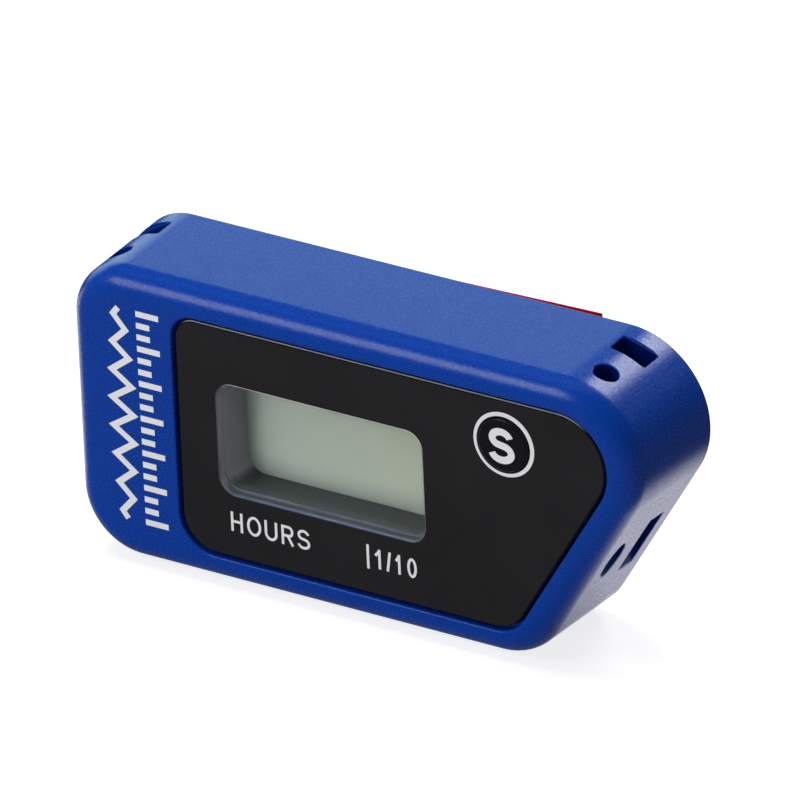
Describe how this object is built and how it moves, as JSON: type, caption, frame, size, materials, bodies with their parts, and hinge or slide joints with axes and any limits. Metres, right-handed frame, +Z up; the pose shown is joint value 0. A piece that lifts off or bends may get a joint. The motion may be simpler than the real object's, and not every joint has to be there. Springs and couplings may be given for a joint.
{
  "type": "hour meter",
  "caption": "Self-powered vibration hour meter: moulded case with a leaning end, recessed display panel, set button, tie channels and an adhesive back.",
  "frame": {"origin": "centre of the adhesive pad's liner, on its outer face", "axes": "+X to the right seen from the front, +Y backward out of the adhesive pad, +Z up; the face looks along -Y"},
  "size_m": [0.0628, 0.0147, 0.0309],
  "materials": {
    "case_blue": "fine spark texture",
    "panel_clear": "clear gloss",
    "film_black": "gloss",
    "button_black": "satin",
    "frame_grey": "satin",
    "polariser": "satin film",
    "display_glass": "clear",
    "reflector": "matte foil",
    "contact_rubber": "matte",
    "board_green": "solder mask",
    "screw_steel": "plated",
    "switch_black": "matte",
    "plate_steel": "tinned",
    "dome_steel": "bright",
    "cell_steel": "bright",
    "tab_nickel": "satin",
    "blob_epoxy": "satin resin",
    "crystal_can": "satin",
    "chip_ceramic": "matte",
    "sensor_nickel": "plated",
    "plug_black": "matte",
    "pin_gold": "plated",
    "coil_steel": "bright",
    "seal_black": "matte",
    "foam_grey": "matte foam",
    "liner_red": "gloss film"
  },
  "bodies": {
    "case": {"housing": "case_blue", "front_panel": "panel_clear", "panel_film": "film_black", "lcd_frame": "frame_grey", "lcd_polariser": "polariser", "lcd_front_glass": "display_glass", "lcd_rear_glass": "display_glass", "lcd_reflector": "reflector", "contact_strips": "contact_rubber", "circuit_board": "board_green", "board_screws": "screw_steel", "switch_base": "switch_black", "switch_plate": "plate_steel", "switch_dome": "dome_steel", "switch_legs": "plate_steel", "coin_cell": "cell_steel", "cell_tab_positive": "tab_nickel", "cell_tab_negative": "tab_nickel", "controller_blob": "blob_epoxy", "clock_crystal": "crystal_can", "chip_parts": "chip_ceramic", "sensor_can": "sensor_nickel", "sensor_plug": "plug_black", "sensor_pin": "pin_gold", "sensor_coil": "coil_steel", "cover_seal": "seal_black", "back_cover": "case_blue", "mounting_foam": "foam_grey", "tape_liner": "liner_red"},
    "button": {"set_button": "button_black", "switch_plunger": "switch_black"}
  },
  "joints": [
    {"name": "set_press", "type": "slide", "parent": "case", "child": "button", "axis": [0, 1, 0], "range_m": [0, 0.00025], "stiffness_N_per_m": 600, "springref_m": -0.002, "deforming": ["switch_dome"]}
  ]
}
